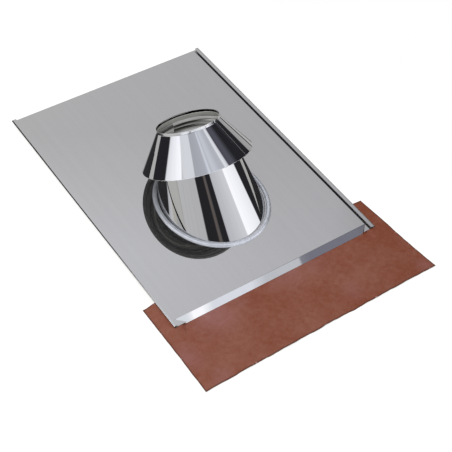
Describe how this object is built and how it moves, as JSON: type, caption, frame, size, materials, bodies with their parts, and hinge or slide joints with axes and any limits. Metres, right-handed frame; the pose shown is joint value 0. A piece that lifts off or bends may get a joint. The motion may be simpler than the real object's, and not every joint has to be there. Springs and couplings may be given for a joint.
{
  "type": "pipe flashing boot",
  "caption": "Stainless roof flashing for a round flue: hemmed base plate, slanted cone, loose storm collar and a soft brick-red apron at the front",
  "frame": {"origin": "middle of the whole footprint, on the surface the part lies on", "axes": "+Z square to the base plate, +Y up the roof slope, +X across it"},
  "size_m": [0.8566, 1.249, 0.2833],
  "materials": {
    "polished_plate": "bright annealed stainless steel sheet, a soft mirror",
    "polished_cone": "polished stainless steel, rolled",
    "satin_ring": "satin stainless steel strip",
    "polished_collar": "polished stainless steel, rolled",
    "painted_apron": "satin brick-red coating on soft sheet metal, lightly creased"
  },
  "bodies": {
    "root": {"base_plate": "polished_plate", "cone": "polished_cone", "seam_ring": "satin_ring", "storm_collar": "polished_collar", "apron": "painted_apron"}
  },
  "joints": []
}
